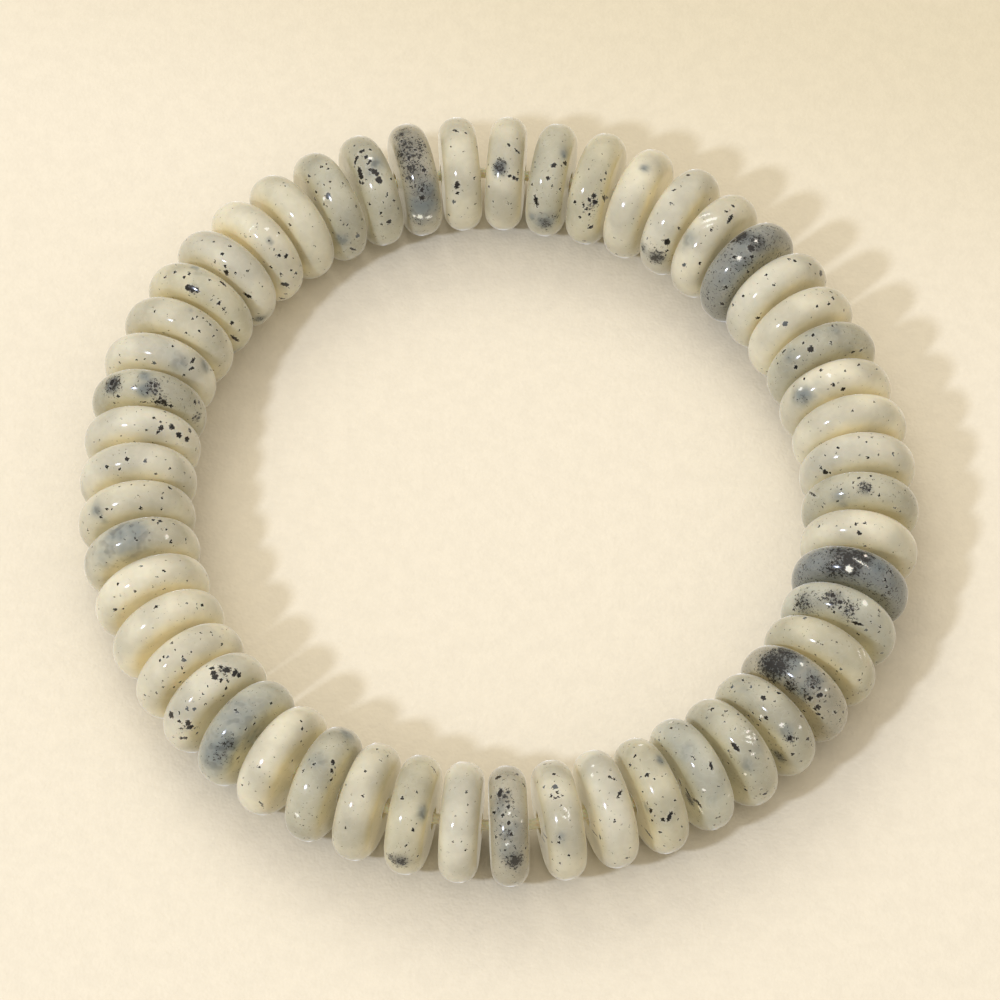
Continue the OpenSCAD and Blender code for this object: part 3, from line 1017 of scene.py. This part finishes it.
def speckled_stone_tree():
    """The stone itself: body, veils, smoky clouds, black granules and sown specks."""
    tree, into, out = new_tree("Speckled stone", "ShaderNodeTree", {
        "Place": "Vector", "Ragged Place": "Vector", "Body": "Color", "Cloud Colour": "Color",
        "Speck Colour": "Color", "Fleck Colour": "Color",
        "Clouds": 0.0, "Granules": 0.0, "Speckle": 0.3,
    }, {"Colour": "Color", "Roughness": "Float"})
    place = into["Place"]
    veil = noise(tree, place, VEIL_WAVES, 1.0, 0.8)
    streaks = add(tree, "ShaderNodeSeparateColor", {"Color": veil.outputs["Color"]})
    first, second, third = streaks.outputs[:3]

    # Milky and glassy zones, and thin pale veins
    zone = spread(tree, noise(tree, place, ZONE_WAVES, 0.0).outputs[0], 0.86, 1.12)
    zone = times(tree, zone, spread(tree, first, 0.96, 1.03))
    colour = vector_math(tree, "SCALE", into["Body"], scale=zone)
    vein = reckon(tree, "ABSOLUTE", reckon(tree, "SUBTRACT", third, 0.5))
    colour = mix_colours(tree, ramp(tree, vein, 0.03, 0.0, 0.0, 0.05), colour,
                         into["Fleck Colour"])

    # Smoke, with darker threads in it
    edge = reckon(tree, "MULTIPLY_ADD", second, 0.8, 0.6)
    cloud = ramp(tree, times(tree, into["Clouds"], edge), 0.0, 1.0)
    colour = mix_colours(tree, times(tree, cloud, 0.8), colour, into["Cloud Colour"])
    threads = times(tree, cloud, ramp(tree, third, 0.5, 0.62, 0.0, 0.35))
    colour = mix_colours(tree, threads, colour, into["Speck Colour"])

    # Black granules in a dark grey ground
    granules = into["Granules"]
    smoke = reckon(tree, "MULTIPLY", ramp(tree, granules, 0.2, 1.0, 0.0, 0.8), edge, clamp=True)
    colour = mix_colours(tree, smoke, colour, GROUND_OF_GRANULES)
    grain = noise(tree, into["Ragged Place"], GRAIN_WAVES, 1.0, 0.7).outputs[0]
    uneven = reckon(tree, "MULTIPLY_ADD", first, 0.6, -0.3)
    black = reckon(tree, "ADD", reckon(tree, "MULTIPLY_ADD", granules, 0.36, grain),
                   times(tree, uneven, granules))
    colour = mix_colours(tree, ramp(tree, black, 0.72, 0.8, 0.0, 0.92), colour,
                         into["Speck Colour"])

    # Small specks, sown at random
    specks, chance = sown_specks(tree, into["Ragged Place"], into["Speckle"])
    specks = times(tree, specks, ramp(tree, chance, 0.0, 0.7, 0.3, 0.95))
    colour = mix_colours(tree, specks, colour, into["Speck Colour"])
    feed(tree, out, {"Colour": colour, "Roughness": spread(tree, first, 0.08, 0.16)})
    return tree


def stone_material(look):
    """Polished, translucent stone with every bead's own marks, with painted amber light and a
    painted glow between the beads.
    """
    material, tree, shader, place = new_material("speckled_stone")
    material.cycles.emission_sampling = "NONE"
    stray = noise(tree, place, STRAY_WAVES, 0.0).outputs["Color"]
    ragged = strayed(tree, place, stray, look.raggedness)

    def kept(name, output="Fac"):
        return add(tree, "ShaderNodeAttribute", attribute_name=name).outputs[output]

    stone = add(tree, "ShaderNodeGroup", {
        "Place": place, "Ragged Place": ragged, "Body": kept("stone_body", "Color"),
        "Clouds": kept("stone_clouds"), "Granules": kept("stone_granules"),
        "Speckle": kept("stone_speckle"), "Cloud Colour": (*look.cloud, 1.0),
        "Speck Colour": (*look.speck, 1.0), "Fleck Colour": (*look.fleck, 1.0),
    }, node_tree=speckled_stone_tree())
    colour = stone.outputs["Colour"]

    # Crisp marks, each with a faint pale ring, the nearest one on top
    mark_tree = crisp_mark_tree()
    for layer in reversed(range(MARK_LAYERS)):
        ink = add(tree, "ShaderNodeAttribute", attribute_name=f"mark_ink_{layer}")
        mark = add(tree, "ShaderNodeGroup", {
            "Place": ragged, "Middle": kept(f"mark_middle_{layer}", "Vector"),
            "Lean": kept(f"mark_lean_{layer}", "Vector"), "Half Width": ink.outputs["Alpha"],
        }, node_tree=mark_tree)
        ring = times(tree, mark.outputs["Ring"], RING_STRENGTH)
        colour = mix_colours(tree, ring, colour, (*look.fleck, 1.0))
        colour = mix_colours(tree, mark.outputs["Mask"], colour, ink.outputs["Color"])

    # Painted light: between two beads the stone is tinted amber and glows by emission, standing in
    # for the light that comes through it
    painted_gap_light = ramp(tree, kept("stone_depth"), 0.0, 0.7)
    colour = tinted(tree, painted_gap_light, colour, look.painted_amber_light)
    feed(tree, shader, {
        "Base Color": colour,
        "Roughness": stone.outputs["Roughness"],
        "IOR": 1.45,
        "Emission Color": mix_colours(tree, painted_gap_light, (0.0, 0.0, 0.0, 1.0), colour),
        "Emission Strength": look.painted_inner_glow,
        "Subsurface Weight": look.translucency,
        "Subsurface Radius": (1.0, 0.72, 0.42),
        "Subsurface Scale": look.light_reach,
        "Coat Weight": 0.2,
        "Coat Roughness": 0.04,
        "Sheen Weight": 0.85,
        "Sheen Roughness": 0.25,
        "Sheen Tint": (0.97, 1.0, 1.0, 1.0),
    })
    return material


# The thread

def thread_tree():
    """Sweeps a round thread along a smooth closed line through the points of a path."""
    tree, into, out = new_tree("Elastic thread", "GeometryNodeTree", {
        "Path": "Object", "Radius": 0.44 * MM, "Sides": 20, "Steps": 612, "Elastic": "Material",
    }, {"Thread": "Geometry"})
    path = add(tree, "GeometryNodeObjectInfo", {"Object": into["Path"]})
    smooth_path = add(tree, "GeometryNodeCurveSplineType", {"Curve": path.outputs["Geometry"]},
                      spline_type="CATMULL_ROM")
    even = add(tree, "GeometryNodeResampleCurve", {
        "Curve": smooth_path.outputs[0], "Count": into["Steps"]})
    section = add(tree, "GeometryNodeCurvePrimitiveCircle", {
        "Resolution": into["Sides"], "Radius": into["Radius"]})
    tube = add(tree, "GeometryNodeCurveToMesh", {
        "Curve": even.outputs[0], "Profile Curve": section.outputs["Curve"]})
    smooth = add(tree, "GeometryNodeSetShadeSmooth", {"Geometry": tube.outputs[0]})
    end_in_mesh(tree, smooth.outputs[0], into["Elastic"], out)
    return tree


def thread_material(look):
    """Translucent elastic with the faint bundles of its strands."""
    material, tree, shader, place = new_material("elastic")
    strands = noise(tree, place, STRAND_WAVES).outputs[0]
    paler = tuple(min(1.0, part * 1.15) for part in look.colour)
    feed(tree, shader, {
        "Base Color": mix_colours(tree, ramp(tree, strands, 0.35, 0.65), (*look.colour, 1.0),
                                  (*paler, 1.0)),
        "Roughness": spread(tree, strands, 0.25, 0.45),
        "Normal": relief(tree, strands, 0.02 * MM),
        "Subsurface Weight": 1.0,
        "Subsurface Radius": (1.0, 0.8, 0.55),
        "Subsurface Scale": 0.8 * MM,
    })
    return material


# The stage

def floor_material(look):
    """Pale, softly mottled floor, with painted shade that makes it a little darker and warmer
    towards the far right.
    """
    material, tree, shader, place = new_material("pale_floor")
    mottle = noise(tree, place, MOTTLE_WAVES, 2.0, 0.8).outputs[0]
    tone = spread(tree, mottle, 0.98, 1.02)
    colour = vector_math(tree, "SCALE", look.floor_colour, scale=tone)
    axes = add(tree, "ShaderNodeSeparateXYZ", {0: place})
    far = reckon(tree, "MULTIPLY_ADD", axes.outputs["X"], RIGHT_SHARE, axes.outputs["Y"])
    shade = ramp(tree, far, PAINTED_SHADE_FROM, PAINTED_SHADE_TO)
    grain = noise(tree, place, FLOOR_GRAIN_WAVES, 1.0, 0.8).outputs[0]
    feed(tree, shader, {
        "Base Color": tinted(tree, shade, colour, look.painted_far_shade),
        "Roughness": 0.85,
        "Specular IOR Level": 0.0,
        "Normal": relief(tree, grain, 0.05 * MM),
    })
    return material


def make_floor(look):
    """A square of floor under the bracelet."""
    half = look.floor_width / 2
    mesh = bpy.data.meshes.new("floor")
    mesh.from_pydata([(-half, -half, 0), (half, -half, 0), (half, half, 0), (-half, half, 0)],
                     [], [(0, 1, 2, 3)])
    floor = new_object("floor", mesh)
    mesh.materials.append(floor_material(look))


def make_lamp(look, name):
    """A round lamp. The key light shows in the stone's polish, and the soft one doesn't."""
    towards = Vector(getattr(look, name + "_direction")).normalized()
    light = bpy.data.lights.new(name + "_light", "AREA")
    light.shape = "DISK"
    light.size = getattr(look, name + "_width")
    light.energy = getattr(look, name + "_power")
    light.color = getattr(look, name + "_colour")
    lamp = new_object(name + "_light", light)
    lamp.location = towards * getattr(look, name + "_distance")
    lamp.rotation_euler = towards.to_track_quat("Z", "Y").to_euler()
    lamp.visible_glossy = name == "key"


def make_sky(look):
    """Soft light from all round, stronger overhead."""
    world = bpy.data.worlds.new("soft_sky")
    world.use_nodes = True
    world.cycles.sampling_method = "NONE"
    tree = world.node_tree
    way = add(tree, "ShaderNodeSeparateXYZ", {0: add(tree, "ShaderNodeTexCoord").outputs[0]})
    height = reckon(tree, "MAXIMUM", way.outputs["Z"], 0.0)
    feed(tree, tree.nodes["Background"], {
        "Color": (*look.sky_colour, 1.0),
        "Strength": reckon(tree, "MULTIPLY_ADD", height, look.sky_strength,
                           look.horizon_strength),
    })
    bpy.context.scene.world = world


def make_camera(look):
    """The camera, in front of the bracelet and above it."""
    camera = bpy.data.cameras.new("camera")
    camera.lens = look.lens
    camera.sensor_width = SENSOR_MM
    camera.clip_start = 0.01
    camera.clip_end = 20.0
    view = new_object("camera", camera)
    back = Vector((0.0, -math.cos(look.elevation), math.sin(look.elevation)))
    view.location = Vector(look.target) + back * look.distance
    view.rotation_euler = (math.pi / 2 - look.elevation, 0.0, 0.0)
    bpy.context.scene.camera = view


# Operators

class BRACELET_OT_stage(bpy.types.Operator):
    """Make the pale floor, the soft light and the camera"""

    bl_idname = "bracelet.stage"
    bl_label = "Stage"

    def execute(self, context):
        look = settings().stage
        context.scene.view_settings.view_transform = "Standard"
        make_floor(look)
        make_lamp(look, "key")
        make_lamp(look, "back")
        make_sky(look)
        make_camera(look)
        return {"FINISHED"}


class BRACELET_OT_stone_beads(bpy.types.Operator):
    """Make every stone bead in its place on the string"""

    bl_idname = "bracelet.stone_beads"
    bl_label = "Stone Beads"

    def execute(self, context):
        look = settings().stone
        stone = stone_material(look)
        tree = turned_bead_tree()
        for number, bead in enumerate(find_beads(), start=1):
            seed = (number - 1) * SEED_STEP
            piece = make_bead(tree, f"bead_{number:02d}", bead, seed, stone)
            chart_bead(piece, bead, number, look)
            finish_piece(piece)
            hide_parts(BEAD_NODE)
        return {"FINISHED"}


class BRACELET_OT_elastic_thread(bpy.types.Operator):
    """Make the elastic thread, one smooth loop through the middle of every bore"""

    bl_idname = "bracelet.elastic_thread"
    bl_label = "Elastic Thread"

    def execute(self, context):
        look = settings().thread
        path = closed_curve("thread_path", "3D", [bead.centre for bead in find_beads()])
        piece = run_tree(thread_tree(), "thread_loop", {
            "Path": path,
            "Radius": look.diameter / 2,
            "Sides": look.sides,
            "Steps": look.steps,
            "Elastic": thread_material(look),
        })
        bpy.data.objects.remove(path)
        finish_piece(piece)
        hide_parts(THREAD_NODE)
        return {"FINISHED"}


class BraceletSettings(bpy.types.PropertyGroup):
    """Everything that the panel shows."""

    sizes: bpy.props.PointerProperty(type=BeadSizes)
    stone: bpy.props.PointerProperty(type=StoneLook)
    thread: bpy.props.PointerProperty(type=ThreadLook)
    stage: bpy.props.PointerProperty(type=StageLook)


class BRACELET_PT_panel(bpy.types.Panel):
    """Lists the bracelet's operators and their settings"""

    bl_idname = "BRACELET_PT_panel"
    bl_label = "Bracelet"
    bl_space_type = "VIEW_3D"
    bl_region_type = "UI"
    bl_category = "Bracelet"

    def draw(self, context):
        made = settings()
        for title, operator, group in (
            ("Stage", BRACELET_OT_stage, made.stage),
            ("Stone Beads", BRACELET_OT_stone_beads, made.sizes),
            ("Stone", None, made.stone),
            ("Elastic Thread", BRACELET_OT_elastic_thread, made.thread),
        ):
            box = self.layout.box()
            box.label(text=title)
            for name in type(group).__annotations__:
                box.prop(group, name)
            if operator:
                box.operator(operator.bl_idname)


CLASSES = (
    BeadSizes, StoneLook, ThreadLook, StageLook, BraceletSettings,
    BRACELET_OT_stage, BRACELET_OT_stone_beads, BRACELET_OT_elastic_thread, BRACELET_PT_panel,
)


def register():
    for cls in CLASSES:
        bpy.utils.register_class(cls)
    bpy.types.Scene.bracelet = bpy.props.PointerProperty(type=BraceletSettings)


def unregister():
    del bpy.types.Scene.bracelet
    for cls in reversed(CLASSES):
        bpy.utils.unregister_class(cls)


def main():
    register()
    bpy.ops.bracelet.stage()
    bpy.ops.bracelet.stone_beads()
    bpy.ops.bracelet.elastic_thread()


if __name__ == "__main__":
    main()
